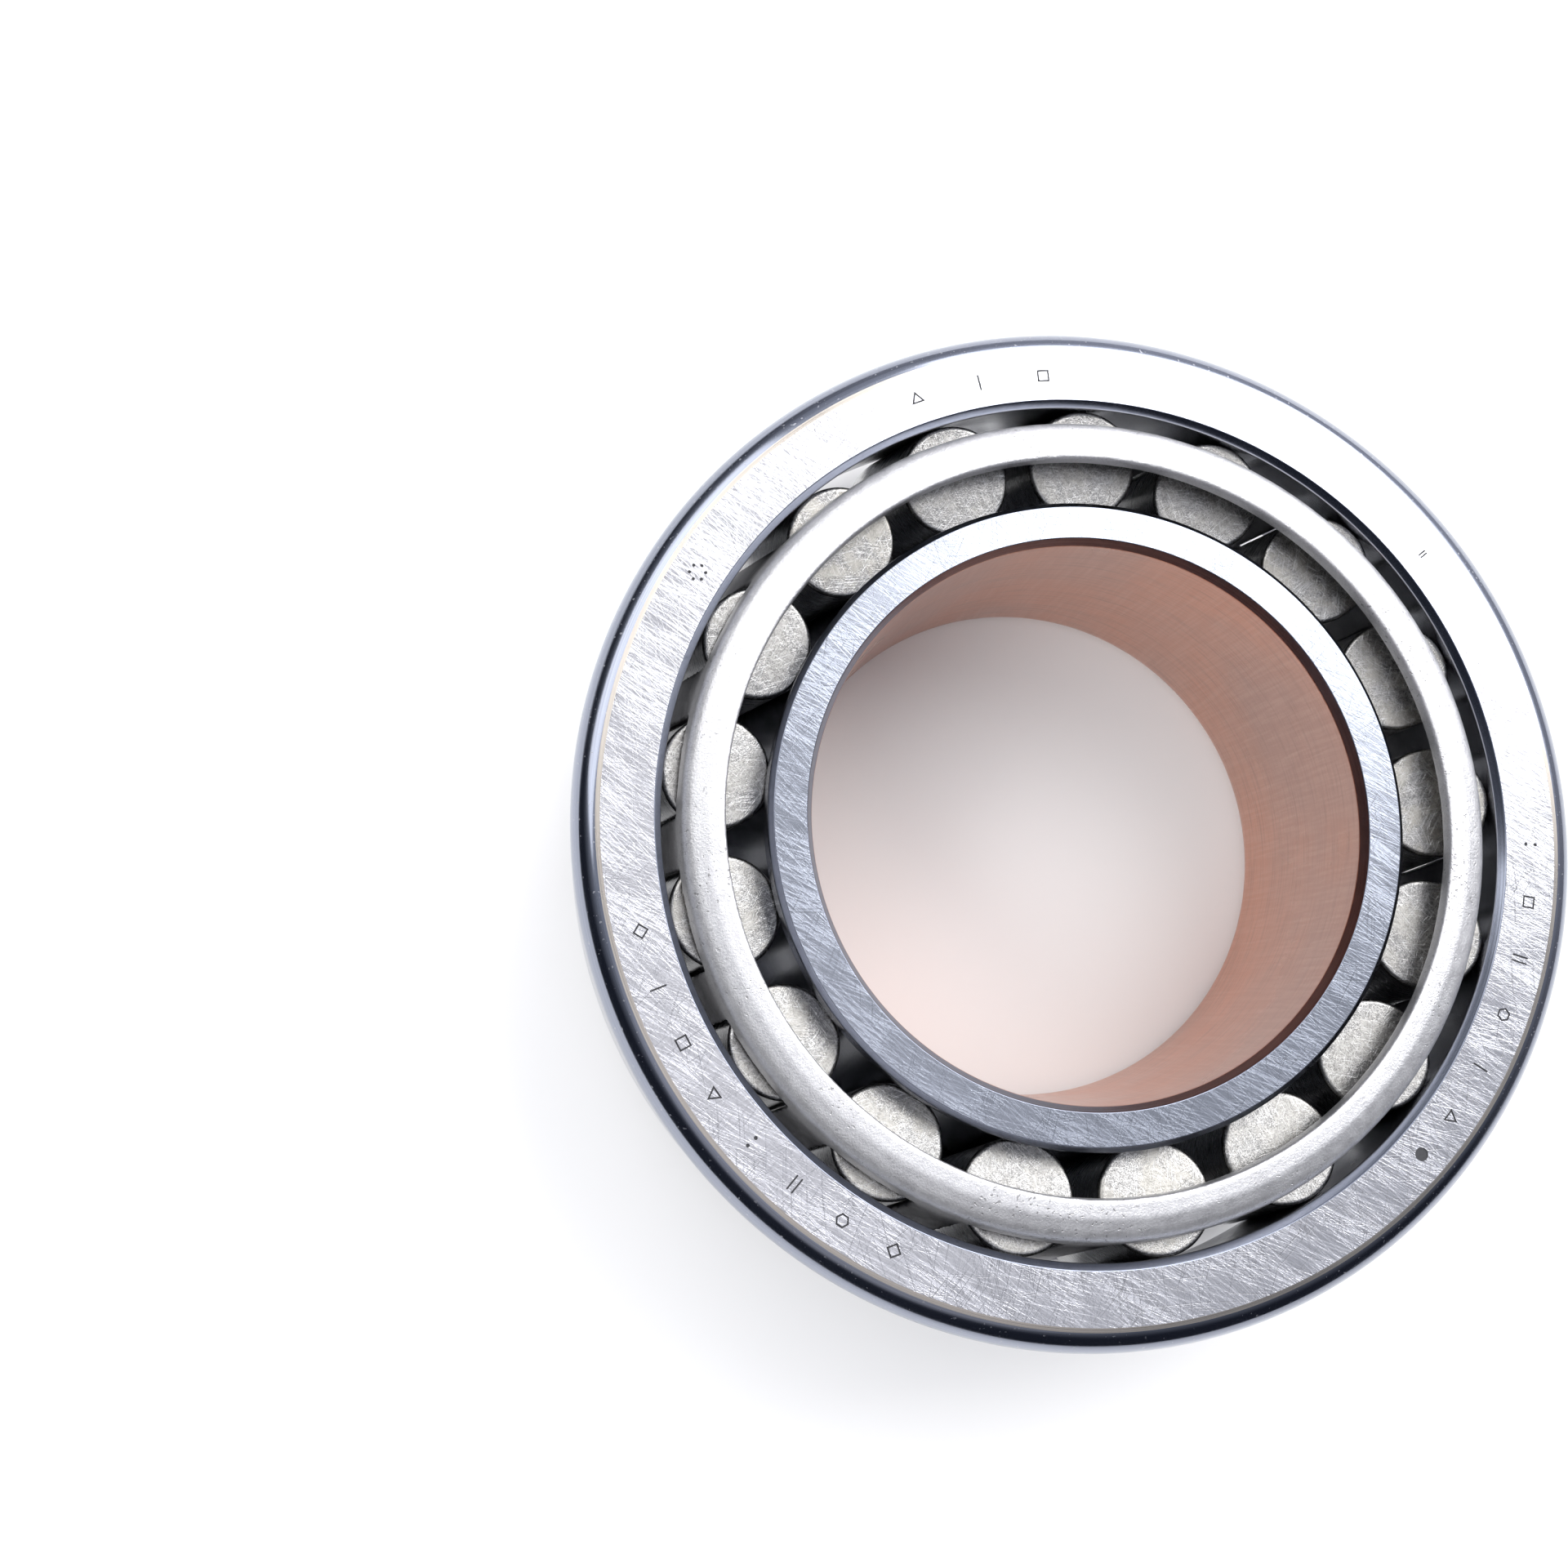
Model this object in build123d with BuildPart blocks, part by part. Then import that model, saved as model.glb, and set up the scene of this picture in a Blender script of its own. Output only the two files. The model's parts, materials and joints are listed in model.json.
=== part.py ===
# Tapered roller bearing: cone (inner ring), cup (outer ring), pressed steel cage and tapered rollers.
#
# Frame: millimetres. The bearing axis is Z and the origin is the centre of the cone's back face, the
# end with the large rib, on which the bearing stands. +Z points to the small ends of the rollers.
#
# All rolling surfaces are cones with one common apex on the axis, above the bearing. A point beside a
# roller is given by its slant, which is its distance from the apex along the roller's axis, and its
# height off that axis: positive heights lie towards the cup, negative ones towards the cone.

import os
from math import asin, cos, degrees, radians, sin, sqrt, tan

from build123d import *

# ---- boundary dimensions ----
bore_diameter = 66.675
outside_diameter = 122.238
assembled_width = 38.1
cone_width = 38.354
cup_width = 29.718

# ---- rolling geometry ----
roller_count = 17
first_roller_angle = 4.0          # degrees from +X to the first roller
cup_half_angle = 12.67            # half of the cup raceway's included angle
roller_half_angle = 1.65          # half of a roller's included angle
cup_raceway_radius = 50.6         # of the raceway, carried on to the plane of the cup's back face
small_end_slant = 232.9           # of the small end of a roller
roller_length = 27.5
raceway_play_angle = 0.005        # degrees between a roller and each raceway, 0.02 mm at mid length
rib_play = 0.02                   # between the large ends of the rollers and the large rib
small_edge_radius = 0.6           # rounded edge at a roller's small end
large_edge_radius = 1.0           # rounded edge at a roller's large end
recess_radius = 3.5               # of the shallow round recess in the middle of a roller's large end
recess_depth = 0.4

# ---- cone ----
back_corner_radius = 3.5          # between the bore and the back face
bore_chamfer_radial = 0.7         # at the front end of the bore
bore_chamfer_axial = 1.35
large_rib_radius = 47.5
large_rib_chamfer = 0.8
small_rib_radius = 38.6
small_rib_chamfer = 0.7
small_rib_gap = 0.35              # between the small rib and the small ends of the rollers
relief_depth = 0.35               # grinding reliefs at both ends of the cone's raceway
relief_width = 1.1

# ---- cup ----
cup_back_face_radius = 57.75      # outer edge of the ground back face
cup_back_fall = 11                # degrees, slope of the turned edge outside that face
cup_back_corner_radius = 3.5      # between that edge and the outside
cup_front_corner_radius = 1.2     # between the outside and the front face
cup_raceway_chamfer = 0.8         # at both ends of the raceway

# ---- cage ----
sheet_thickness = 2.2
shell_height = 2.5                # of the inner face of the shell, above the roller axes
cage_top = 39.9                   # outer face of the flange
cage_bottom = 3.4                 # end of the plain ring
flange_inner_radius = 43.5
flange_flat_radius = 45.7         # where the flange's flat ends and its fall begins
flange_fall = 18                  # degrees
outer_bend_radius = 3.8
inner_bend_radius = 0.8
sheet_edge_radius = 0.35
pocket_clearance = 0.25           # around the body of the roller
pocket_end_clearance = 0.35       # at each end of the roller
window_small_width = 11.9         # of the pocket's straight cut through the sheet, at its small end
window_large_width = 13.3         # and at its large end
window_corner_radius = 0.8

# ---- derived geometry ----
axis_tilt = radians(cup_half_angle - roller_half_angle - raceway_play_angle)
apex_z = assembled_width + cup_raceway_radius / tan(radians(cup_half_angle))
large_end_slant = small_end_slant + roller_length
large_rib_distance = large_end_slant + rib_play
large_rib_height = (large_rib_radius - large_rib_distance * sin(axis_tilt)) / cos(axis_tilt)
large_rib_root_height = -large_rib_distance * sin(radians(roller_half_angle)) - relief_depth
bore_radius = bore_diameter / 2
outside_radius = outside_diameter / 2
cup_front_z = assembled_width - cup_width
roller_angles = [first_roller_angle + 360 / roller_count * number for number in range(roller_count)]


def meridian(slant, height):
    """Radius and z of the point with this slant and height."""
    radius = slant * sin(axis_tilt) + height * cos(axis_tilt)
    z = apex_z - slant * cos(axis_tilt) + height * sin(axis_tilt)
    return (radius, z)


def meridian_at_radius(slant, radius):
    """Radius and z of the point with this slant that lies at this radius."""
    return meridian(slant, (radius - slant * sin(axis_tilt)) / cos(axis_tilt))


def meridian_at_z(height, z):
    """Radius and z of the point with this height that lies at this z."""
    return meridian((apex_z - z + height * sin(axis_tilt)) / cos(axis_tilt), height)


def roller_radius(slant):
    """Radius of a roller's body at this slant."""
    return slant * tan(radians(roller_half_angle))


def cone_raceway_point(slant, depth=0):
    """Radius and z of the cone's raceway at this slant, or of a point at this depth under it."""
    height = -slant * tan(radians(roller_half_angle + raceway_play_angle))
    return meridian(slant, height - depth)


def large_rib_point(height):
    """Radius and z of the large rib's face, a part of a sphere about the apex."""
    return meridian(sqrt(large_rib_distance**2 - height**2), height)


def cup_raceway_point(z):
    """Radius and z of the cup's raceway at this z."""
    return ((apex_z - z) * tan(radians(cup_half_angle)), z)


def roller_plane(angle):
    """Plane with its origin at the apex, x along a roller's axis and y towards the cup."""
    turn = radians(angle)
    along = (cos(turn) * sin(axis_tilt), sin(turn) * sin(axis_tilt), -cos(axis_tilt))
    return Plane(origin=(0, 0, apex_z), x_dir=along, z_dir=(sin(turn), -cos(turn), 0))


def window_plane(angle):
    """Plane with its origin at the apex, x along a roller's axis and z towards the cup."""
    turn = radians(angle)
    along = (cos(turn) * sin(axis_tilt), sin(turn) * sin(axis_tilt), -cos(axis_tilt))
    outward = (cos(turn) * cos(axis_tilt), sin(turn) * cos(axis_tilt), sin(axis_tilt))
    return Plane(origin=(0, 0, apex_z), x_dir=along, z_dir=outward)


def round_corner(point, radius):
    """Round the corner of the current sketch that lies at this point."""
    fillet(vertices().sort_by_distance(point)[0], radius)


os.makedirs("parts", exist_ok=True)

# ---- cone: bore, back face, large rib, raceway between two reliefs, small rib, front face ----
small_rib_slant = small_end_slant - small_rib_gap
relief_run = relief_width + relief_depth

with BuildPart() as cone:
    with BuildSketch(Plane.XZ):
        with BuildLine():
            rib_face = ThreePointArc(
                large_rib_point(large_rib_height),
                large_rib_point((large_rib_height + large_rib_root_height) / 2),
                large_rib_point(large_rib_root_height),
            )
            Polyline(
                rib_face @ 1,
                cone_raceway_point(large_end_slant - relief_width, relief_depth),
                cone_raceway_point(large_end_slant - relief_run),
                cone_raceway_point(small_rib_slant + relief_run),
                cone_raceway_point(small_rib_slant + relief_width, relief_depth),
                cone_raceway_point(small_rib_slant, relief_depth),
                meridian_at_radius(small_rib_slant, small_rib_radius),
                (small_rib_radius, cone_width - small_rib_chamfer),
                (small_rib_radius - small_rib_chamfer, cone_width),
                (bore_radius + bore_chamfer_radial, cone_width),
                (bore_radius, cone_width - bore_chamfer_axial),
                (bore_radius, 0),
                (large_rib_radius, 0),
                rib_face @ 0,
            )
        make_face()
        round_corner((bore_radius, 0), back_corner_radius)
        chamfer(vertices().sort_by_distance((large_rib_radius, 0))[0], large_rib_chamfer)
    revolve(axis=Axis.Z)
cone.part.label = "cone"
export_step(cone.part, "parts/cone.step")

# ---- cup: outside, wide back face with a large corner, conical raceway, narrow front face ----
back_drop = (outside_radius - cup_back_face_radius) * tan(radians(cup_back_fall))
back_corner = (outside_radius, assembled_width - back_drop)
raceway_back = cup_raceway_point(assembled_width - cup_raceway_chamfer)
raceway_front = cup_raceway_point(cup_front_z + cup_raceway_chamfer)

with BuildPart() as cup:
    with BuildSketch(Plane.XZ):
        with BuildLine():
            Polyline(
                (outside_radius, cup_front_z),
                back_corner,
                (cup_back_face_radius, assembled_width),
                (raceway_back[0] + cup_raceway_chamfer, assembled_width),
                raceway_back,
                raceway_front,
                (raceway_front[0] + cup_raceway_chamfer, cup_front_z),
                close=True,
            )
        make_face()
        round_corner(back_corner, cup_back_corner_radius)
        round_corner((outside_radius, cup_front_z), cup_front_corner_radius)
    revolve(axis=Axis.Z)
cup.part.label = "cup"
export_step(cup.part, "parts/cup.step")

# ---- cage: a conical sheet outside the roller axes, turned in to a flange over the small ends ----
outer_height = shell_height + sheet_thickness
shell_top = meridian_at_z(outer_height, cage_top)
flange_slope = tan(radians(flange_fall))
bend_drop = (shell_top[0] - flange_flat_radius) * flange_slope / (1 - flange_slope * tan(axis_tilt))
outer_bend = meridian_at_z(outer_height, cage_top - bend_drop)
flat_end = (flange_flat_radius, cage_top)
inner_bend = meridian_at_z(shell_height, cage_top - sheet_thickness)
flange_edges = [(flange_inner_radius, cage_top), (flange_inner_radius, cage_top - sheet_thickness)]
ring_edges = [meridian_at_z(outer_height, cage_bottom), meridian_at_z(shell_height, cage_bottom)]
pocket_start = small_end_slant - pocket_end_clearance
pocket_end = large_end_slant + pocket_end_clearance

with BuildPart() as cage:
    with BuildSketch(Plane.XZ):
        with BuildLine():
            Polyline(
                ring_edges[0],
                outer_bend,
                flat_end,
                *flange_edges,
                inner_bend,
                ring_edges[1],
                close=True,
            )
        make_face()
        round_corner(outer_bend, outer_bend_radius)
        round_corner(inner_bend, inner_bend_radius)
        for edge in flange_edges + ring_edges:
            round_corner(edge, sheet_edge_radius)
    revolve(axis=Axis.Z)
    for angle in roller_angles:
        # the straight cut through the sheet
        with BuildSketch(window_plane(angle)):
            with BuildLine():
                Polyline(
                    (pocket_start, -window_small_width / 2),
                    (pocket_end, -window_large_width / 2),
                    (pocket_end, window_large_width / 2),
                    (pocket_start, window_small_width / 2),
                    close=True,
                )
            make_face()
            fillet(vertices(), window_corner_radius)
        extrude(amount=outer_height + sheet_thickness, mode=Mode.SUBTRACT)
        # the bars' inner edges, formed to the roller
        with BuildSketch(roller_plane(angle)):
            with BuildLine():
                Polyline(
                    (pocket_start, 0),
                    (pocket_start, roller_radius(pocket_start) + pocket_clearance),
                    (pocket_end, roller_radius(pocket_end) + pocket_clearance),
                    (pocket_end, 0),
                    close=True,
                )
            make_face()
        revolve(axis=Axis((0, 0, apex_z), roller_plane(angle).x_dir), mode=Mode.SUBTRACT)
cage.part.label = "cage"
export_step(cage.part, "parts/cage.step")

# ---- rollers: flat at the small end; the large end lies on a sphere about the apex, with a recess ----
small_corner = (small_end_slant, roller_radius(small_end_slant))
recess_floor = large_end_slant - recess_depth
recess_angle = degrees(asin(recess_radius / large_end_slant))

for number, angle in enumerate(roller_angles, start=1):
    with BuildPart() as roller:
        with BuildSketch(roller_plane(angle)):
            with BuildLine():
                large_end = CenterArc(
                    (0, 0), large_end_slant, recess_angle, roller_half_angle - recess_angle
                )
                Polyline(
                    large_end @ 1,
                    small_corner,
                    (small_end_slant, 0),
                    (recess_floor, 0),
                    (recess_floor, recess_radius),
                    large_end @ 0,
                )
            make_face()
            round_corner(small_corner, small_edge_radius)
            round_corner(large_end @ 1, large_edge_radius)
        revolve(axis=Axis((0, 0, apex_z), roller_plane(angle).x_dir))
    roller.part.label = f"roller_{number:02d}"
    export_step(roller.part, f"parts/roller_{number:02d}.step")
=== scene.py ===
# The looks of a tapered roller bearing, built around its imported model. Lengths are in metres, in the
# model's frame: Z is the bearing axis, and the bearing stands on z = 0 with the rollers' small ends up.

import json
import math
import random

import bmesh
import bpy
from mathutils import Matrix, Vector


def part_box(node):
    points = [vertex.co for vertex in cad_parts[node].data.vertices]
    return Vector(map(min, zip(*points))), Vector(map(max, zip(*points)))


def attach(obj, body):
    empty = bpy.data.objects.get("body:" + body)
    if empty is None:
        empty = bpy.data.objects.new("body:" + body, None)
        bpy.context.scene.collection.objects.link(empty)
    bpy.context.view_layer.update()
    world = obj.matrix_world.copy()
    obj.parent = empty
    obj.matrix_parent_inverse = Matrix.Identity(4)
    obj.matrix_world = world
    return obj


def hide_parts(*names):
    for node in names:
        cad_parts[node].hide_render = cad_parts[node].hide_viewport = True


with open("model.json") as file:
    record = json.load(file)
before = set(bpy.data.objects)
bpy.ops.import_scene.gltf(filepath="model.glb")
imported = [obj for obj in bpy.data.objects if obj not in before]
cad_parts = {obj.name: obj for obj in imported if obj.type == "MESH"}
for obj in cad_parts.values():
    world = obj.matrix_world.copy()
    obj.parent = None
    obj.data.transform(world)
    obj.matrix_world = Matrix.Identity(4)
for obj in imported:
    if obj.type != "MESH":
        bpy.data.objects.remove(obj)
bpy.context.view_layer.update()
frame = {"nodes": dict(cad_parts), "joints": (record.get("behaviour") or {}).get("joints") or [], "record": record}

MM = 0.001
MOUNTS = {mount["name"]: mount for mount in frame["record"]["mounts"]}
JOINTS = {joint["name"]: joint for joint in frame["joints"]}

# ---- sizes: those that the frame states ----
BORE_RADIUS = MOUNTS["cone_bore"]["dims"]["r_mm"] * MM
OUTSIDE_RADIUS = MOUNTS["cup_od"]["dims"]["r_mm"] * MM
CUP_FRONT_Z, CUP_BACK_Z = (corner.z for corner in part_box("cup"))
CONE_BACK_Z, CONE_FRONT_Z = (corner.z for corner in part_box("cone"))
CAGE_BOTTOM_Z, CAGE_TOP_Z = (corner.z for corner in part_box("cage"))

# ---- sizes: the rolling geometry, in cones with one apex on the axis ----
CUP_ANGLE = math.radians(12.67)
ROLLER_ANGLE = math.radians(1.65)
PLAY_ANGLE = math.radians(0.005)    # between a roller and each raceway
TILT = CUP_ANGLE - ROLLER_ANGLE - PLAY_ANGLE
CUP_RACEWAY_RADIUS = 50.6 * MM      # at the cup's back face
APEX_Z = CUP_BACK_Z + CUP_RACEWAY_RADIUS / math.tan(CUP_ANGLE)
SMALL_END = 232.9 * MM              # slant distance from the apex
LARGE_END = SMALL_END + 27.5 * MM
SEGMENTS = 720


def meridian(slant, height):
    """Radius and z of a point by its slant along the roller axis and its height off it."""
    return (
        slant * math.sin(TILT) + height * math.cos(TILT),
        APEX_Z - slant * math.cos(TILT) + height * math.sin(TILT),
    )


def meridian_at_radius(slant, radius):
    """The point at this slant whose distance from the bearing axis is the radius."""
    return meridian(slant, (radius - slant * math.sin(TILT)) / math.cos(TILT))


def meridian_at_z(height, z):
    """The point at this height off the roller axis and at this z."""
    return meridian((APEX_Z - z + height * math.sin(TILT)) / math.cos(TILT), height)


def cone_raceway(slant, depth=0.0):
    """A point on the cone's raceway, or at a depth under it."""
    return meridian(slant, -slant * math.tan(ROLLER_ANGLE + PLAY_ANGLE) - depth)


def cup_raceway(z):
    """A point on the cup's raceway."""
    return ((APEX_Z - z) * math.tan(CUP_ANGLE), z)


# ---- outlines and lathe work ----
def rounded_outline(corners, support=0.12 * MM):
    """Closed outline of a turned ring. Each corner is (radius, z, rounding, material of the rounding,
    material of the edge after it). Returns points with the material of the edge after each one."""
    points = []
    count = len(corners)
    for index, (r, z, rounding, round_material, edge_material) in enumerate(corners):
        here = Vector((r, z))
        before = Vector(corners[index - 1][:2])
        after = Vector(corners[(index + 1) % count][:2])
        to_before = (before - here).normalized()
        to_after = (after - here).normalized()
        if rounding <= 0:
            points.append((here, edge_material))
            continue
        half = to_before.angle(to_after) / 2
        run = rounding / math.tan(half)
        centre = here + (to_before + to_after).normalized() * (rounding / math.sin(half))
        start = here + to_before * run
        end = here + to_after * run
        steps = max(4, int(math.degrees(math.pi - 2 * half) / 8) + 1)
        previous_edge = corners[index - 1][4]
        if (before - here).length > run + 2 * support:
            points.append((start + to_before * support, previous_edge))
        arm, last_arm = start - centre, end - centre
        turn = arm.angle_signed(last_arm)
        for step in range(steps + 1):
            angle = -turn * step / steps
            spoke = Vector(
                (
                    arm.x * math.cos(angle) - arm.y * math.sin(angle),
                    arm.x * math.sin(angle) + arm.y * math.cos(angle),
                )
            )
            points.append((centre + spoke, round_material if step < steps else edge_material))
        if (after - here).length > run + 2 * support:
            points.append((end + to_after * support, edge_material))
    return points


def turned_ring(name, outline, materials, segments=SEGMENTS):
    """Solid of revolution about Z from a closed outline."""
    count = len(outline)
    vertices = []
    for segment in range(segments):
        angle = 2 * math.pi * segment / segments
        for point, _ in outline:
            vertices.append((point.x * math.cos(angle), point.x * math.sin(angle), point.y))
    faces, slots = [], []
    for segment in range(segments):
        here, there = segment * count, (segment + 1) % segments * count
        for index in range(count):
            ahead = (index + 1) % count
            faces.append((here + index, there + index, there + ahead, here + ahead))
            slots.append(outline[index][1])
    return mesh_object(name, vertices, faces, materials, slots)


def mesh_object(name, vertices, faces, materials, slots=None):
    mesh = bpy.data.meshes.new(name)
    mesh.from_pydata(vertices, [], faces)
    for material in materials:
        mesh.materials.append(material)
    if slots:
        mesh.polygons.foreach_set("material_index", slots)
    mesh.polygons.foreach_set("use_smooth", [True] * len(mesh.polygons))
    tidy = bmesh.new()
    tidy.from_mesh(mesh)
    bmesh.ops.remove_doubles(tidy, verts=tidy.verts, dist=1e-8)
    bmesh.ops.delete(tidy, geom=[edge for edge in tidy.edges if edge.is_wire], context="EDGES")
    bmesh.ops.recalc_face_normals(tidy, faces=tidy.faces)
    tidy.to_mesh(mesh)
    tidy.free()
    piece = bpy.data.objects.new(name, mesh)
    bpy.context.scene.collection.objects.link(piece)
    return piece


def solid_object(name, solid):
    """Object of a closed bmesh, which it uses up."""
    mesh = bpy.data.meshes.new(name)
    bmesh.ops.recalc_face_normals(solid, faces=solid.faces)
    solid.to_mesh(mesh)
    solid.free()
    piece = bpy.data.objects.new(name, mesh)
    bpy.context.scene.collection.objects.link(piece)
    return piece


def apply_modifiers(piece):
    """Turns the piece's modifiers into mesh."""
    bpy.context.view_layer.update()
    graph = bpy.context.evaluated_depsgraph_get()
    finished = bpy.data.meshes.new_from_object(piece.evaluated_get(graph))
    old = piece.data
    piece.modifiers.clear()
    piece.data = finished
    bpy.data.meshes.remove(old)


def sharpen(piece, angle=35):
    """Shades the piece smooth, except across edges steeper than this many degrees."""
    piece.data.polygons.foreach_set("use_smooth", [True] * len(piece.data.polygons))
    piece.data.set_sharp_from_angle(angle=math.radians(angle))


def cut(piece, cutter, solver="EXACT"):
    """Takes the cutter's solids away from the piece. The EXACT solver keeps the cutter's material, and
    the MANIFOLD one is surer where many cuts meet at flat angles."""
    boolean = piece.modifiers.new("cut", "BOOLEAN")
    boolean.operation = "DIFFERENCE"
    boolean.solver = solver
    boolean.object = cutter
    boolean.material_mode = "TRANSFER"
    apply_modifiers(piece)
    bpy.data.objects.remove(cutter)


# ---- shader building ----
class Shader:
    """A material with one Principled shader, and short ways to add nodes to it."""

    def __init__(self, name, **settings):
        self.material = bpy.data.materials.new(name)
        self.material.use_nodes = True
        self.tree = self.material.node_tree
        self.surface = self.tree.nodes["Principled BSDF"]
        for socket, value in settings.items():
            self.surface.inputs[socket.replace("_", " ")].default_value = value

    def node(self, kind, inputs=(), **settings):
        made = self.tree.nodes.new(kind)
        for attribute, value in settings.items():
            setattr(made, attribute, value)
        for socket, value in dict(inputs).items():
            self.plug(made.inputs[socket], value)
        return made

    def plug(self, socket, value):
        if isinstance(value, bpy.types.NodeSocket):
            self.tree.links.new(value, socket)
        else:
            socket.default_value = value

    def maths(self, operation, a, b=0.0, clamp=False):
        made = self.node("ShaderNodeMath", {0: a, 1: b}, operation=operation, use_clamp=clamp)
        return made.outputs[0]

    def vector(self, operation, a, b=(0, 0, 0)):
        made = self.node("ShaderNodeVectorMath", {0: a, 1: b}, operation=operation)
        return made.outputs["Value" if operation in ("LENGTH", "DOT_PRODUCT") else "Vector"]

    def scaled(self, vector, factors):
        return self.vector("MULTIPLY", vector, factors)

    def place(self):
        """Object coordinates, in metres."""
        return self.node("ShaderNodeTexCoord").outputs["Object"]

    def noise(self, vector, size, detail=2.0, roughness=0.5):
        """Noise from 0 to 1, with lumps of about this size."""
        made = self.node(
            "ShaderNodeTexNoise",
            {"Vector": vector, "Scale": 1 / size, "Detail": detail, "Roughness": roughness},
        )
        return made.outputs["Fac"]

    def ramp(self, value, low, high, to_low=0.0, to_high=1.0):
        made = self.node(
            "ShaderNodeMapRange",
            {"Value": value, "From Min": low, "From Max": high, "To Min": to_low, "To Max": to_high},
        )
        return made.outputs["Result"]

    def blend(self, factor, first, second):
        made = self.node("ShaderNodeMix", {0: factor, 6: first, 7: second}, data_type="RGBA")
        return made.outputs[2]

    def polar(self, place):
        """Unit direction from the axis, distance from it, and height along it."""
        flat = self.scaled(place, (1, 1, 0))
        height = self.node("ShaderNodeSeparateXYZ", {0: place}).outputs["Z"]
        return self.vector("NORMALIZE", flat), self.vector("LENGTH", flat), height

    def finish(self, colour, roughness, height, depth, strength=1.0):
        """Sets the surface's colour, roughness and relief, and returns the material."""
        inputs = {"Height": height, "Distance": depth, "Strength": strength}
        relief = self.node("ShaderNodeBump", inputs).outputs["Normal"]
        self.plug(self.surface.inputs["Base Color"], colour)
        self.plug(self.surface.inputs["Roughness"], roughness)
        self.plug(self.surface.inputs["Normal"], relief)
        return self.material


def shade(colour, factor):
    """The colour made lighter or darker, with full opacity."""
    return (*[min(1, part * factor) for part in colour], 1)


def added(s, values):
    """The sum of several values, as nodes."""
    total = values[0]
    for value in values[1:]:
        total = s.maths("ADD", total, value)
    return total


# ---- materials ----
def scratched(s, place, directions, width, length, warp, detail=1.0):
    """Noise drawn out along lines in several directions, in degrees from X: one noise for each. The
    lines bend a little, in waves of the warp's size."""
    drift = s.noise(place, warp, 1.0)
    shift = s.node(
        "ShaderNodeCombineXYZ",
        {"X": s.maths("MULTIPLY", drift, warp * 0.5), "Y": s.maths("MULTIPLY", drift, warp * -0.4)},
    ).outputs["Vector"]
    bent = s.vector("ADD", place, shift)
    lines = []
    for number, angle in enumerate(directions):
        turned = s.node(
            "ShaderNodeVectorRotate", {"Vector": bent, "Angle": math.radians(-angle)}, rotation_type="Z_AXIS"
        ).outputs["Vector"]
        drawn = s.vector("ADD", s.scaled(turned, (1 / length, 1 / width, 0)), (0, 0, 5.3 * number))
        lines.append(s.noise(drawn, 1.0, detail, 0.6))
    return lines


def ground_steel(name, colour, depth):
    """Flat ground face: long scratches, most of them one way, their lightened colour a painted glint, crossed by
    thin dark ones.
    """
    s = Shader(name, Metallic=1.0)
    place = s.place()
    fine = added(s, scratched(s, place, (-40, -24, 15, 79, 121), 0.12 * MM, 6 * MM, 30 * MM))
    bright = scratched(s, place, (-46, -36, -28, -19), 0.22 * MM, 18 * MM, 60 * MM)
    dark = scratched(s, place, (-51, -33, -3, 49, 77, 104), 0.13 * MM, 9 * MM, 60 * MM)
    patches = s.ramp(s.noise(place, 6 * MM, 3.0), 0.38, 0.62, 0.45, 1.0)
    scratch_glints = s.maths("MULTIPLY", added(s, [s.ramp(line, 0.54, 0.70) for line in bright]), patches, clamp=True)
    cuts = s.maths("MULTIPLY", added(s, [s.ramp(line, 0.61, 0.76) for line in dark]), patches, clamp=True)
    # Painted glint: the one-way scratches are lightened in colour, on top of their grooves in the relief.
    base = s.blend(scratch_glints, shade(colour, 0.78), shade(colour, 1.3))
    base = s.blend(s.maths("MULTIPLY", cuts, 0.8), base, shade(colour, 0.5))
    rough = s.maths("ADD", s.ramp(fine, 2.0, 3.0, 0.13, 0.20), s.maths("MULTIPLY", scratch_glints, 0.12))
    height = s.maths("SUBTRACT", s.maths("MULTIPLY", fine, 0.25), s.maths("ADD", scratch_glints, cuts))
    return s.finish(base, rough, height, depth)


def turned_steel(name, colour, rough, ring_size, depth=0.003 * MM, specks=0.0):
    """Steel finished in rings about the axis, as on a raceway or an outside diameter. Specks, from 0
    to 1, is how strongly the dust on it shows."""
    s = Shader(name, Metallic=1.0)
    place = s.place()
    direction, radius, height = s.polar(place)
    rings = s.node(
        "ShaderNodeCombineXYZ",
        {"X": s.maths("MULTIPLY", radius, 1 / ring_size), "Y": s.maths("MULTIPLY", height, 1 / ring_size)},
    ).outputs["Vector"]
    rings = s.vector("ADD", rings, s.scaled(direction, (1.5, 1.5, 0)))
    lines = s.noise(rings, 1.0, 3.0, 0.6)
    cloud = s.noise(place, 14 * MM, 3.0)
    base = s.blend(s.ramp(lines, 0.35, 0.65), shade(colour, 0.88), shade(colour, 1.12))
    roughness = s.ramp(cloud, 0.3, 0.7, rough * 0.8, rough * 1.25)
    if specks:
        grains = s.noise(place, 0.38 * MM, 0.0)
        dust = s.maths("MULTIPLY", s.ramp(grains, 0.77, 0.80), specks)
        base = s.blend(dust, base, (0.75, 0.75, 0.77, 1))
        roughness = s.maths("ADD", roughness, s.maths("MULTIPLY", dust, 0.6), clamp=True)
    return s.finish(base, roughness, lines, depth)


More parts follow.
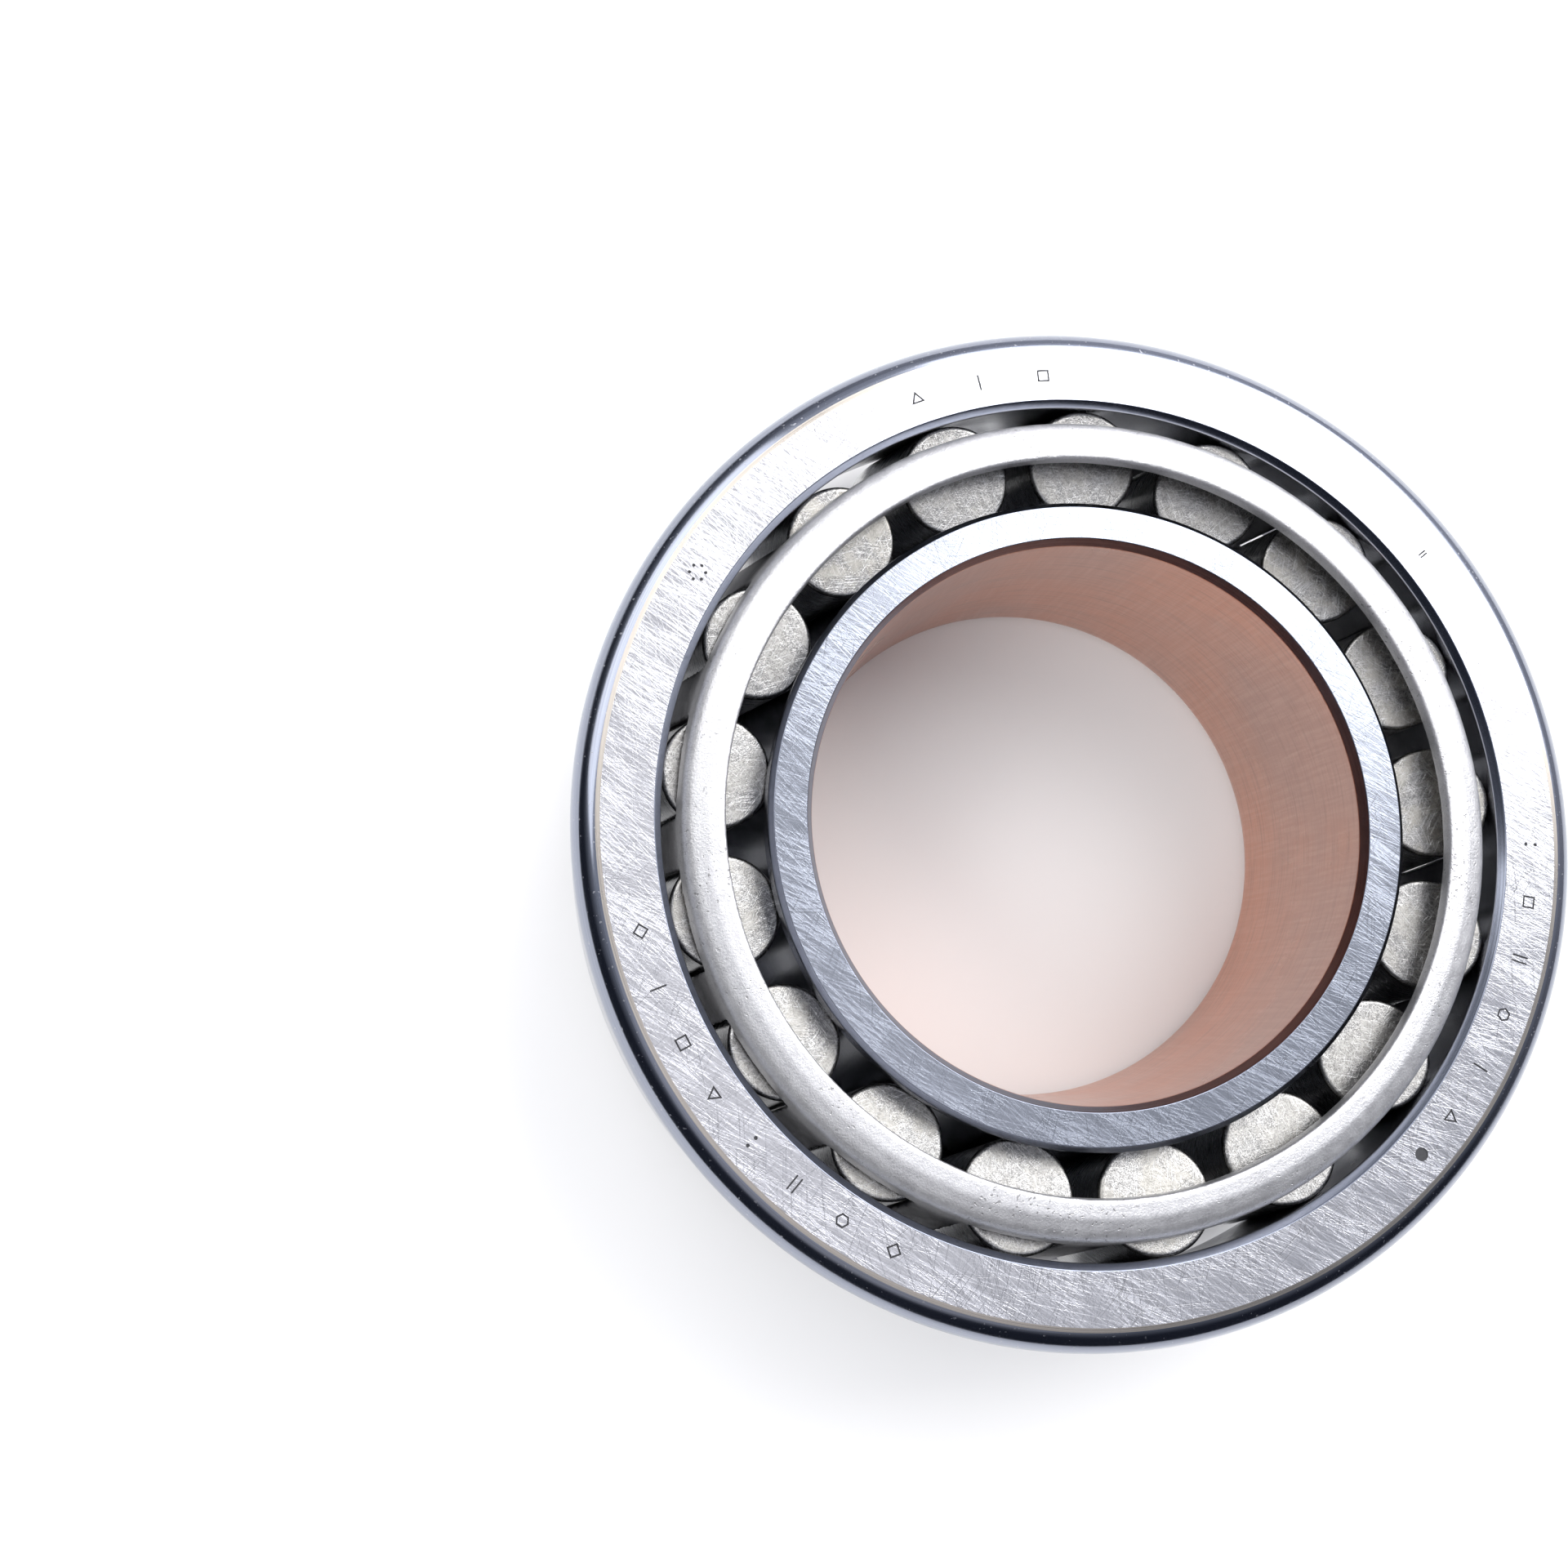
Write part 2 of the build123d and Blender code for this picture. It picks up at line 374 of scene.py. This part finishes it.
def honed_bore(name):
    """Bore: satin, streaked along the axis and around it, cloudy, with a warm tint that is a painted reflection of
    warm surroundings.
    """
    s = Shader(name, Metallic=1.0)
    place = s.place()
    direction, _, height = s.polar(place)
    turns = s.scaled(direction, (BORE_RADIUS, BORE_RADIUS, 0))

    def drawn(around, along):
        """Noise of this width around the bore and this length along it."""
        level = s.node("ShaderNodeCombineXYZ", {"Z": s.maths("MULTIPLY", height, around / along)})
        return s.noise(s.vector("ADD", turns, level.outputs["Vector"]), around, 3.0, 0.6)

    axial, rings = drawn(0.5 * MM, 9 * MM), drawn(7 * MM, 0.35 * MM)
    cloud = s.noise(place, 24 * MM, 4.0)
    # Painted reflection: the warm base colours stand in for warm surroundings reflected in the bore.
    base = s.blend(s.ramp(cloud, 0.35, 0.65), (0.51, 0.335, 0.28, 1), (0.64, 0.36, 0.27, 1))
    base = s.blend(s.ramp(axial, 0.42, 0.72, 0.0, 0.22), base, (0.80, 0.58, 0.50, 1))
    base = s.blend(s.ramp(rings, 0.48, 0.75, 0.0, 0.35), base, (0.27, 0.19, 0.165, 1))
    roughness = s.ramp(cloud, 0.3, 0.7, 0.22, 0.36)
    return s.finish(base, roughness, s.maths("ADD", axial, rings), 0.008 * MM)


def blasted_sheet(name):
    """Pressed sheet, blasted matt, with a fine grain, a few rubbed spots and small dark pits. Below the flange,
    between the rollers, it is darkened with painted shade."""
    s = Shader(name, Metallic=0.86)
    place = s.place()
    _, _, level = s.polar(place)
    grain = s.noise(place, 0.27 * MM, 3.0, 0.7)
    mottle = s.noise(place, 1.6 * MM, 4.0, 0.65)
    cloud = s.noise(place, 11 * MM, 3.0)
    dots = s.ramp(s.noise(place, 0.45 * MM, 1.0), 0.66, 0.72)
    pits = s.maths("MULTIPLY", dots, s.ramp(cloud, 0.45, 0.6))
    tint = s.blend(s.ramp(mottle, 0.3, 0.7), (0.70, 0.69, 0.70, 1), (0.84, 0.835, 0.84, 1))
    tint = s.blend(s.ramp(grain, 0.45, 0.75), tint, (0.92, 0.915, 0.92, 1))
    base = s.blend(s.maths("MULTIPLY", pits, 0.5), tint, (0.22, 0.21, 0.21, 1))
    # Painted shade: the sheet below the flange, between the rollers, is darkened to near black by its height.
    painted_shade = s.ramp(level, CAGE_TOP_Z - 4 * MM, CAGE_TOP_Z - 8 * MM, 0.0, 0.8)
    base = s.blend(painted_shade, base, (0.10, 0.10, 0.12, 1))
    height = s.maths("SUBTRACT", grain, s.maths("MULTIPLY", pits, 0.8))
    return s.finish(base, s.ramp(mottle, 0.3, 0.7, 0.34, 0.48), height, 0.055 * MM)


def roller_body(name):
    """Roller flank: ground in rings about the roller's own axis."""
    s = Shader(name, Metallic=1.0)
    direction, _, height = s.polar(s.place())
    ring_size = 0.12 * MM
    along = s.node("ShaderNodeCombineXYZ", {"Z": s.maths("MULTIPLY", height, 1 / ring_size)})
    lines = s.noise(s.vector("ADD", along.outputs["Vector"], s.scaled(direction, (2, 2, 0))), 1.0, 3.0, 0.6)
    base = s.blend(s.ramp(lines, 0.35, 0.65), (0.46, 0.46, 0.455, 1), (0.62, 0.62, 0.61, 1))
    return s.finish(base, s.ramp(lines, 0.3, 0.7, 0.22, 0.34), lines, 0.004 * MM, 0.5)


def tumbled_end(name):
    """Roller end: tumbled to short crossing nicks, with a faint warm cast on some rollers."""
    s = Shader(name, Metallic=1.0)
    chance = s.node("ShaderNodeObjectInfo").outputs["Random"]
    shift = s.node("ShaderNodeCombineXYZ", {"X": s.maths("MULTIPLY", chance, 0.7)}).outputs["Vector"]
    place = s.vector("ADD", s.place(), shift)
    nicks = scratched(s, place, (3, 41, 77, 116, 152), 0.11 * MM, 0.9 * MM, 6 * MM, 2.0)
    gouges = scratched(s, place, (24, 95, 139), 0.16 * MM, 2.6 * MM, 9 * MM, 2.0)
    grain = s.noise(place, 0.17 * MM, 2.0, 0.6)
    cloud = s.noise(place, 3.5 * MM, 3.0)
    texture = added(s, nicks)
    cuts = added(s, [s.ramp(line, 0.58, 0.68) for line in gouges])
    tint = s.blend(s.ramp(texture, 2.15, 2.85), (0.17, 0.168, 0.165, 1), (0.51, 0.50, 0.485, 1))
    warm = s.maths("MULTIPLY", s.ramp(cloud, 0.42, 0.60), s.ramp(chance, 0.2, 0.9, 0.15, 0.6))
    tint = s.blend(warm, tint, (0.50, 0.47, 0.40, 1))
    base = s.blend(s.maths("MULTIPLY", cuts, 0.4, clamp=True), tint, (0.80, 0.80, 0.79, 1))
    height = s.maths("ADD", s.maths("SUBTRACT", texture, s.maths("MULTIPLY", cuts, 0.6)), grain)
    return s.finish(base, s.ramp(cloud, 0.3, 0.7, 0.20, 0.32), height, 0.011 * MM)


def engraving_paint():
    """Etched marks: dull and dark, a little uneven."""
    s = Shader("engraving", Metallic=0.6)
    burn = s.noise(s.place(), 0.3 * MM)
    s.plug(s.surface.inputs["Base Color"], s.blend(burn, (0.05, 0.05, 0.055, 1), (0.12, 0.12, 0.125, 1)))
    s.plug(s.surface.inputs["Roughness"], s.ramp(burn, 0.3, 0.7, 0.55, 0.75))
    return s.material


ring_face = ground_steel("ring_face", (0.70, 0.70, 0.73), 0.012 * MM)
cone_face = ground_steel("cone_face", (0.40, 0.425, 0.485), 0.007 * MM)
outside_steel = turned_steel("outside_steel", (0.30, 0.32, 0.38), 0.15, 0.25 * MM, specks=0.35)
chamfer_steel = turned_steel("chamfer_steel", (0.27, 0.29, 0.35), 0.15, 0.25 * MM)
edge_steel = turned_steel("edge_steel", (0.60, 0.55, 0.49), 0.28, 0.13 * MM, 0.02 * MM)
raceway_steel = turned_steel("raceway_steel", (0.30, 0.31, 0.345), 0.22, 0.15 * MM)
bore_steel = honed_bore("bore_steel")
cage_steel = blasted_sheet("cage_steel")
roller_flank = roller_body("roller_flank")
roller_end = tumbled_end("roller_end")
engraving = engraving_paint()


# ---- cone ----
def make_cone():
    rib_reach = 47.5 * MM                  # outer radius of the large rib
    rib_distance = LARGE_END + 0.02 * MM   # slant of its face, with the rollers' play
    rib_top_height = (rib_reach - rib_distance * math.sin(TILT)) / math.cos(TILT)
    rib_root_height = -rib_distance * math.sin(ROLLER_ANGLE) - 0.35 * MM
    small_rib = 38.6 * MM
    small_rib_slant = SMALL_END - 0.35 * MM
    relief, relief_run, relief_depth = 1.1 * MM, 1.45 * MM, 0.35 * MM
    back_corner = 3.5 * MM                 # clears the corner of the shaft's shoulder
    chamfer, bore_chamfer_depth = 0.7 * MM, 1.35 * MM
    face, race, bore, edge = 0, 1, 2, 3

    def rib_face(height):
        return meridian(math.sqrt(rib_distance**2 - height**2), height)

    corners = [
        (BORE_RADIUS, CONE_BACK_Z, back_corner, bore, face),
        (rib_reach, CONE_BACK_Z, 0.8 * MM, edge, edge),
        (*rib_face(rib_top_height), 0.3 * MM, race, race),
        (*rib_face((rib_top_height + rib_root_height) / 2), 0, race, race),
        (*rib_face(rib_root_height), 0.2 * MM, race, race),
        (*cone_raceway(LARGE_END - relief, relief_depth), 0.2 * MM, race, race),
        (*cone_raceway(LARGE_END - relief_run), 0.1 * MM, race, race),
        (*cone_raceway(small_rib_slant + relief_run), 0.1 * MM, race, race),
        (*cone_raceway(small_rib_slant + relief, relief_depth), 0.2 * MM, race, race),
        (*cone_raceway(small_rib_slant, relief_depth), 0.2 * MM, race, race),
        (*meridian_at_radius(small_rib_slant, small_rib), 0.15 * MM, race, race),
        (small_rib, CONE_FRONT_Z - chamfer, 0.3 * MM, edge, edge),
        (small_rib - chamfer, CONE_FRONT_Z, 0.12 * MM, edge, face),
        (BORE_RADIUS + chamfer, CONE_FRONT_Z, 0.12 * MM, edge, edge),
        (BORE_RADIUS, CONE_FRONT_Z - bore_chamfer_depth, 0.6 * MM, bore, bore),
    ]
    steels = [cone_face, raceway_steel, bore_steel, chamfer_steel]
    piece = turned_ring("cone_ring", rounded_outline(corners), steels)
    sharpen(piece)
    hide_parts("cone")
    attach(piece, "cone")


# ---- cup ----
MARK_RADIUS = 54.7 * MM
MARK_DEPTH = 0.12 * MM
STROKE = 0.20 * MM


def polygon(centre, reach, sides, turn=0.0):
    """Corners of a regular polygon."""
    corners = []
    for side in range(sides):
        angle = math.radians(turn) + 2 * math.pi * side / sides
        corners.append(centre + Vector((math.cos(angle), math.sin(angle))) * reach)
    return corners


def capsule(start, end, width):
    """Outline of a stroke with round ends."""
    along = (end - start).normalized()
    outline = []
    steps = 6
    for centre, facing in ((end, along), (start, -along)):
        side = Vector((facing.y, -facing.x))
        for step in range(steps + 1):
            angle = math.pi * step / steps
            outline.append(centre + (side * math.cos(angle) + facing * math.sin(angle)) * width / 2)
    return outline


def prism(solid, outline, inner=None):
    """Adds an upright solid that reaches from just over the cup's face down to a mark's depth.
    With an inner outline of as many corners, the solid is a frame around it."""
    levels = (CUP_BACK_Z - MARK_DEPTH, CUP_BACK_Z + MARK_DEPTH)
    rings = [
        [solid.verts.new((point.x, point.y, z)) for point in points]
        for points in (outline, inner) if points
        for z in levels
    ]
    count = len(outline)
    walls = [(0, 1)] if inner is None else [(0, 1), (3, 2), (2, 0), (1, 3)]
    for low, high in walls:
        for here in range(count):
            ahead = (here + 1) % count
            solid.faces.new((rings[low][here], rings[low][ahead], rings[high][ahead], rings[high][here]))
    if inner is None:
        solid.faces.new(rings[0])
        solid.faces.new(rings[1])


# Plain marks in place of lettering. Sizes in mm; x runs along the ring and y outwards.
# Bars by their x, with their half length.
BARS = {"bar": [0.0], "pair": [-0.35, 0.35]}
BAR_REACH = 0.9
# Frames by their reach, number of sides and turn in degrees.
FRAMES = {
    "square": (1.05, 4, 45),
    "diamond": (0.95, 4, 0),
    "triangle": (1.0, 3, 90),
    "hexagon": (0.85, 6, 0),
}
# Dots by their x, y and radius.
WHEEL_RADIUS = 0.95
DOTS = {
    "dots": [(0, -0.6, 0.22), (0, 0.6, 0.22)],
    "wheel": [
        (WHEEL_RADIUS * math.cos(turn), WHEEL_RADIUS * math.sin(turn), 0.2)
        for turn in (math.pi / 3 * number for number in range(6))
    ],
    "punch": [(0, 0, 0.8)],
}
# Rows by the angle of the first mark and the step to the next, in degrees, the marks and their scale.
MARK_ROWS = [
    (38.0, 0.0, ["pair"], 0.55),
    (95.0, 8.5, ["square", "bar", "triangle"], 1.0),
    (149.0, 0.0, ["wheel"], 1.0),
    (194.5, 7.0, ["diamond", "bar", "square", "triangle", "dots", "pair", "hexagon", "diamond"], 1.0),
    (314.5, 0.0, ["punch"], 1.0),
    (320.5, 7.4, ["triangle", "bar", "hexagon", "pair", "square", "dots"], 1.0),
]


def mark_cutter():
    """All the marks as one object, which leaves the engraving's look on what it cuts."""
    solid = bmesh.new()
    for first_angle, pitch, row, size in MARK_ROWS:
        for number, kind in enumerate(row):
            angle = math.radians(first_angle + pitch * number)
            outward = Vector((math.cos(angle), math.sin(angle)))
            around = Vector((-outward.y, outward.x))

            def at(x, y):
                return outward * (MARK_RADIUS + y * size * MM) + around * x * size * MM

            for x in BARS.get(kind, ()):
                prism(solid, capsule(at(x, -BAR_REACH), at(x, BAR_REACH), STROKE))
            for x, y, reach in DOTS.get(kind, ()):
                prism(solid, polygon(at(x, y), reach * size * MM, 24))
            if kind in FRAMES:
                reach, sides, turn = FRAMES[kind]
                lean = turn + math.degrees(angle) - 90
                inset = STROKE / math.cos(math.pi / sides)
                outer = polygon(at(0, 0), reach * MM, sides, lean)
                prism(solid, outer, polygon(at(0, 0), reach * MM - inset, sides, lean))
    cutter = solid_object("mark_cutter", solid)
    cutter.data.materials.append(engraving)
    return cutter


def make_cup():
    chamfer = 0.8 * MM
    back = cup_raceway(CUP_BACK_Z - chamfer)
    front = cup_raceway(CUP_FRONT_Z + chamfer)
    face_radius = 57.75 * MM               # where the flat face meets the slanted rim
    rim_slope = math.tan(math.radians(11))
    drop = (OUTSIDE_RADIUS - face_radius) * rim_slope
    back_corner, front_corner = 3.5 * MM, 1.2 * MM
    face, outside, race, edge, chamfered = 0, 1, 2, 3, 4
    corners = [
        (OUTSIDE_RADIUS, CUP_FRONT_Z, front_corner, outside, outside),
        (OUTSIDE_RADIUS, CUP_BACK_Z - drop, back_corner, outside, edge),
        (face_radius, CUP_BACK_Z, 0.03 * MM, edge, face),
        (back[0] + chamfer, CUP_BACK_Z, 0.15 * MM, chamfered, chamfered),
        (*back, 0.3 * MM, race, race),
        (*front, 0.2 * MM, race, chamfered),
        (front[0] + chamfer, CUP_FRONT_Z, 0.2 * MM, chamfered, face),
    ]
    steels = [ring_face, outside_steel, raceway_steel, edge_steel, chamfer_steel]
    piece = turned_ring("cup_ring", rounded_outline(corners), steels)
    cut(piece, mark_cutter())
    sharpen(piece)
    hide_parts("cup")
    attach(piece, "cup")


# ---- rollers ----
def roller_names():
    return sorted(name for name in frame["nodes"] if name.startswith("roller"))


def make_rollers():
    rng = random.Random(17)
    segments = 96
    length = LARGE_END - SMALL_END
    small_radius = SMALL_END * math.tan(ROLLER_ANGLE)
    large_radius = LARGE_END * math.tan(ROLLER_ANGLE)
    recess_radius, recess_depth = 3.5 * MM, 0.4 * MM
    flank, end = 0, 1

    def large_end(radius):
        """The large end is part of a sphere about the apex."""
        return (radius, SMALL_END - math.sqrt(LARGE_END**2 - radius**2))

    recess_floor = large_end(recess_radius)[1] + recess_depth
    corners = [
        (0, 0, 0, end, end),
        (small_radius, 0, 0.6 * MM, end, flank),
        (*large_end(large_radius), 1.0 * MM, end, end),
        (*large_end(0.6 * large_radius), 0, end, end),
        (*large_end(recess_radius), 0.08 * MM, end, end),
        (recess_radius, recess_floor, 0.08 * MM, end, end),
        (0, recess_floor, 0, end, end),
    ]
    outline = rounded_outline(corners, 0.05 * MM)
    for name in roller_names():
        joint = JOINTS[name + "_spin"]
        axis = Vector(joint["axis"]).normalized()
        piece = turned_ring("taper_" + name, outline, [roller_flank, roller_end], segments)
        sharpen(piece, 50)
        turn = Matrix.Rotation(rng.uniform(0, 2 * math.pi), 4, "Z")
        lay = axis.to_track_quat("Z", "Y").to_matrix().to_4x4()
        small_end_centre = Vector(joint["pos_m"]) + axis * length / 2
        piece.matrix_world = Matrix.Translation(small_end_centre) @ lay @ turn
        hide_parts(name)
        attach(piece, name)


# ---- cage ----
def roller_frames():
    """For each roller, the apex frame: x along the roller, y around the bearing, z towards the cup."""
    for name in roller_names():
        along = -Vector(JOINTS[name + "_spin"]["axis"]).normalized()
        around = Vector((0, 0, 1)).cross(along).normalized()
        outward = along.cross(around)
        if outward.z < 0:
            outward = -outward
        yield Matrix(
            (
                (along.x, around.x, outward.x, 0),
                (along.y, around.y, outward.y, 0),
                (along.z, around.z, outward.z, APEX_Z),
                (0, 0, 0, 1),
            )
        )


def pocket_cutters():
    """The straight cuts through the sheet, and the rounds that fit the rollers."""
    end_clearance, side_clearance = 0.35 * MM, 0.25 * MM
    window_height = 7.0 * MM
    sides = 64
    start, end = SMALL_END - end_clearance, LARGE_END + end_clearance
    half_widths = ((start, 5.95 * MM), (end, 6.65 * MM))
    windows, rounds = bmesh.new(), bmesh.new()
    for placed in roller_frames():
        corners = []
        for z in (0.0, window_height):
            for x, half in half_widths:
                corners.append((x, -half, z))
                corners.append((x, half, z))
        verts = [windows.verts.new(placed @ Vector(corner)) for corner in corners]
        for quad in ((0, 1, 3, 2), (4, 5, 7, 6), (0, 1, 5, 4), (2, 3, 7, 6), (0, 2, 6, 4), (1, 3, 7, 5)):
            windows.faces.new([verts[corner] for corner in quad])
        rings = []
        for x in (start, end):
            reach = x * math.tan(ROLLER_ANGLE) + side_clearance
            rings.append([
                rounds.verts.new(placed @ Vector((x, reach * math.cos(turn), reach * math.sin(turn))))
                for turn in (2 * math.pi * step / sides for step in range(sides))
            ])
        rounds.faces.new(rings[0])
        rounds.faces.new(rings[1][::-1])
        for step in range(sides):
            ahead = (step + 1) % sides
            rounds.faces.new((rings[0][step], rings[0][ahead], rings[1][ahead], rings[1][step]))
    return solid_object("windows", windows), solid_object("rounds", rounds)


def make_cage():
    sheet = 2.2 * MM
    low = 2.5 * MM                         # the sheet's inside, by its height off the rollers' axes
    high = low + sheet
    flange, flat_end = 43.5 * MM, 45.7 * MM
    bend = 2.5 * MM
    slope = math.tan(math.radians(18))     # of the flange beyond its flat part
    shell_top = meridian_at_z(high, CAGE_TOP_Z)[0]
    drop = (shell_top - flat_end) * slope / (1 - slope * math.tan(TILT))
    corners = [
        (*meridian_at_z(low, CAGE_BOTTOM_Z), 0.5 * MM, 0, 0),
        (*meridian_at_z(high, CAGE_BOTTOM_Z), 0.5 * MM, 0, 0),
        (*meridian_at_z(high, CAGE_TOP_Z - drop), bend, 0, 0),
        (flat_end, CAGE_TOP_Z, 0.1 * MM, 0, 0),
        (flange, CAGE_TOP_Z, 0.35 * MM, 0, 0),
        (flange, CAGE_TOP_Z - sheet, 0.35 * MM, 0, 0),
        (*meridian_at_z(low, CAGE_TOP_Z - sheet), 0.8 * MM, 0, 0),
    ]
    piece = turned_ring("cage_sheet", rounded_outline(corners), [cage_steel], segments=360)
    for cutter in pocket_cutters():
        cut(piece, cutter, "MANIFOLD")
    remesh = piece.modifiers.new("even", "REMESH")
    remesh.mode = "VOXEL"
    remesh.voxel_size = 0.28 * MM
    smooth = piece.modifiers.new("soften", "SMOOTH")
    smooth.factor = 0.5
    smooth.iterations = 2
    swell = bpy.data.textures.new("swell", "CLOUDS")
    swell.noise_scale = 5 * MM
    dents = piece.modifiers.new("dents", "DISPLACE")
    dents.texture = swell
    dents.strength = 0.06 * MM
    dents.mid_level = 1.0
    apply_modifiers(piece)
    piece.data.polygons.foreach_set("use_smooth", [True] * len(piece.data.polygons))
    piece.data.materials.clear()
    piece.data.materials.append(cage_steel)
    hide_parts("cage")
    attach(piece, "cage")


make_cone()
make_cup()
make_rollers()
make_cage()


# ---- stage, light and camera ----
def make_floor():
    s = Shader("floor", Roughness=0.5)
    cloud = s.noise(s.place(), 80 * MM, 3.0)
    s.plug(s.surface.inputs["Base Color"], s.blend(cloud, (0.87, 0.865, 0.86, 1), (0.91, 0.905, 0.90, 1)))
    reach = 4.0
    floor = mesh_object(
        "floor",
        [(-reach, -reach, 0), (reach, -reach, 0), (reach, reach, 0), (-reach, reach, 0)],
        [(0, 1, 2, 3)],
        [s.material],
    )


def soft_light(name, place, width, height, power, aim=None, turn=0, mirrored=True):
    """Rectangular softbox aimed at a point, or else straight down and turned about Z, in degrees.
    Only a mirrored one shows in the steel."""
    light = bpy.data.lights.new(name, "AREA")
    light.shape = "RECTANGLE"
    light.size, light.size_y = width, height
    light.energy = power
    lamp = bpy.data.objects.new(name, light)
    lamp.location = place
    if aim is None:
        lamp.rotation_euler = (0, 0, math.radians(turn))
    else:
        lamp.rotation_euler = (Vector(aim) - Vector(place)).to_track_quat("-Z", "Y").to_euler()
    lamp.visible_glossy = mirrored
    bpy.context.scene.collection.objects.link(lamp)


def make_world():
    """Soft grey surroundings: bright overhead and a little behind, dark round the horizon, except for
    a pale wall to the back right and a faint round lamp above the front left."""
    world = bpy.data.worlds.new("studio")
    world.use_nodes = True
    tree = world.node_tree
    place = tree.nodes.new("ShaderNodeTexCoord")

    def graded(facing, stops):
        """A colour for each direction, by how nearly it faces this way: 0 away, 1 straight at it."""
        lean = tree.nodes.new("ShaderNodeVectorMath")
        lean.operation = "DOT_PRODUCT"
        lean.inputs[1].default_value = Vector(facing).normalized()
        half = tree.nodes.new("ShaderNodeMath")
        half.operation = "MULTIPLY_ADD"
        half.inputs[1].default_value = 0.5
        half.inputs[2].default_value = 0.5
        level = tree.nodes.new("ShaderNodeValToRGB")
        ramp = level.color_ramp
        while len(ramp.elements) < len(stops):
            ramp.elements.new(0.5)
        for element, (position, colour) in zip(ramp.elements, stops):
            element.position = position
            element.color = (*colour, 1)
        tree.links.new(place.outputs["Generated"], lean.inputs[0])
        tree.links.new(lean.outputs["Value"], half.inputs[0])
        tree.links.new(half.outputs[0], level.inputs[0])
        return level.outputs["Color"]

    sky = graded((0.10, 0.35, 0.93), (
        (0.0, (0.012, 0.014, 0.02)),
        (0.66, (0.03, 0.034, 0.048)),
        (0.76, (0.19, 0.20, 0.23)),
        (0.84, (0.34, 0.355, 0.40)),
        (0.90, (0.46, 0.485, 0.55)),
        (0.96, (0.84, 0.85, 0.90)),
    ))
    wall = graded((0.70, 0.70, -0.10), ((0.0, (0, 0, 0)), (0.66, (0, 0, 0)), (0.95, (0.46, 0.46, 0.50))))
    lamp = graded((-0.10, -0.35, 0.93), ((0.0, (0, 0, 0)), (0.938, (0, 0, 0)), (0.966, (0.34, 0.33, 0.34))))
    total = sky
    for extra in (wall, lamp):
        both = tree.nodes.new("ShaderNodeVectorMath")
        tree.links.new(total, both.inputs[0])
        tree.links.new(extra, both.inputs[1])
        total = both.outputs["Vector"]
    tree.links.new(total, tree.nodes["Background"].inputs["Color"])
    bpy.context.scene.world = world


def make_camera():
    place = Vector((-0.05898, -0.02469, 0.21976))
    target = Vector((-0.03672, 0.00334, 0.0381))
    view = (target - place).normalized()
    right = view.cross(Vector((0, 1, 0))).normalized()
    up = right.cross(view)
    lens = bpy.data.cameras.new("camera")
    lens.lens = 36.9
    lens.sensor_width = 36.0
    lens.clip_start = 0.01
    camera = bpy.data.objects.new("camera", lens)
    camera.matrix_world = Matrix.Translation(place) @ Matrix((right, up, -view)).transposed().to_4x4()
    bpy.context.scene.collection.objects.link(camera)
    bpy.context.scene.camera = camera


make_floor()
make_world()
soft_light("key", (0.566, 0.628, 0.64), 1.02, 0.95, 11.1, turn=6)
soft_light("wash", (-1.0, -0.75, 0.90), 1.2, 1.2, 24.0, aim=(-0.1, -0.05, 0), mirrored=False)
soft_light("back_fill", (-0.67, 0.60, 0.935), 1.1, 0.6, 4.6, aim=(0, 0, 0.03))
make_camera()
bpy.context.scene.view_settings.view_transform = "Standard"
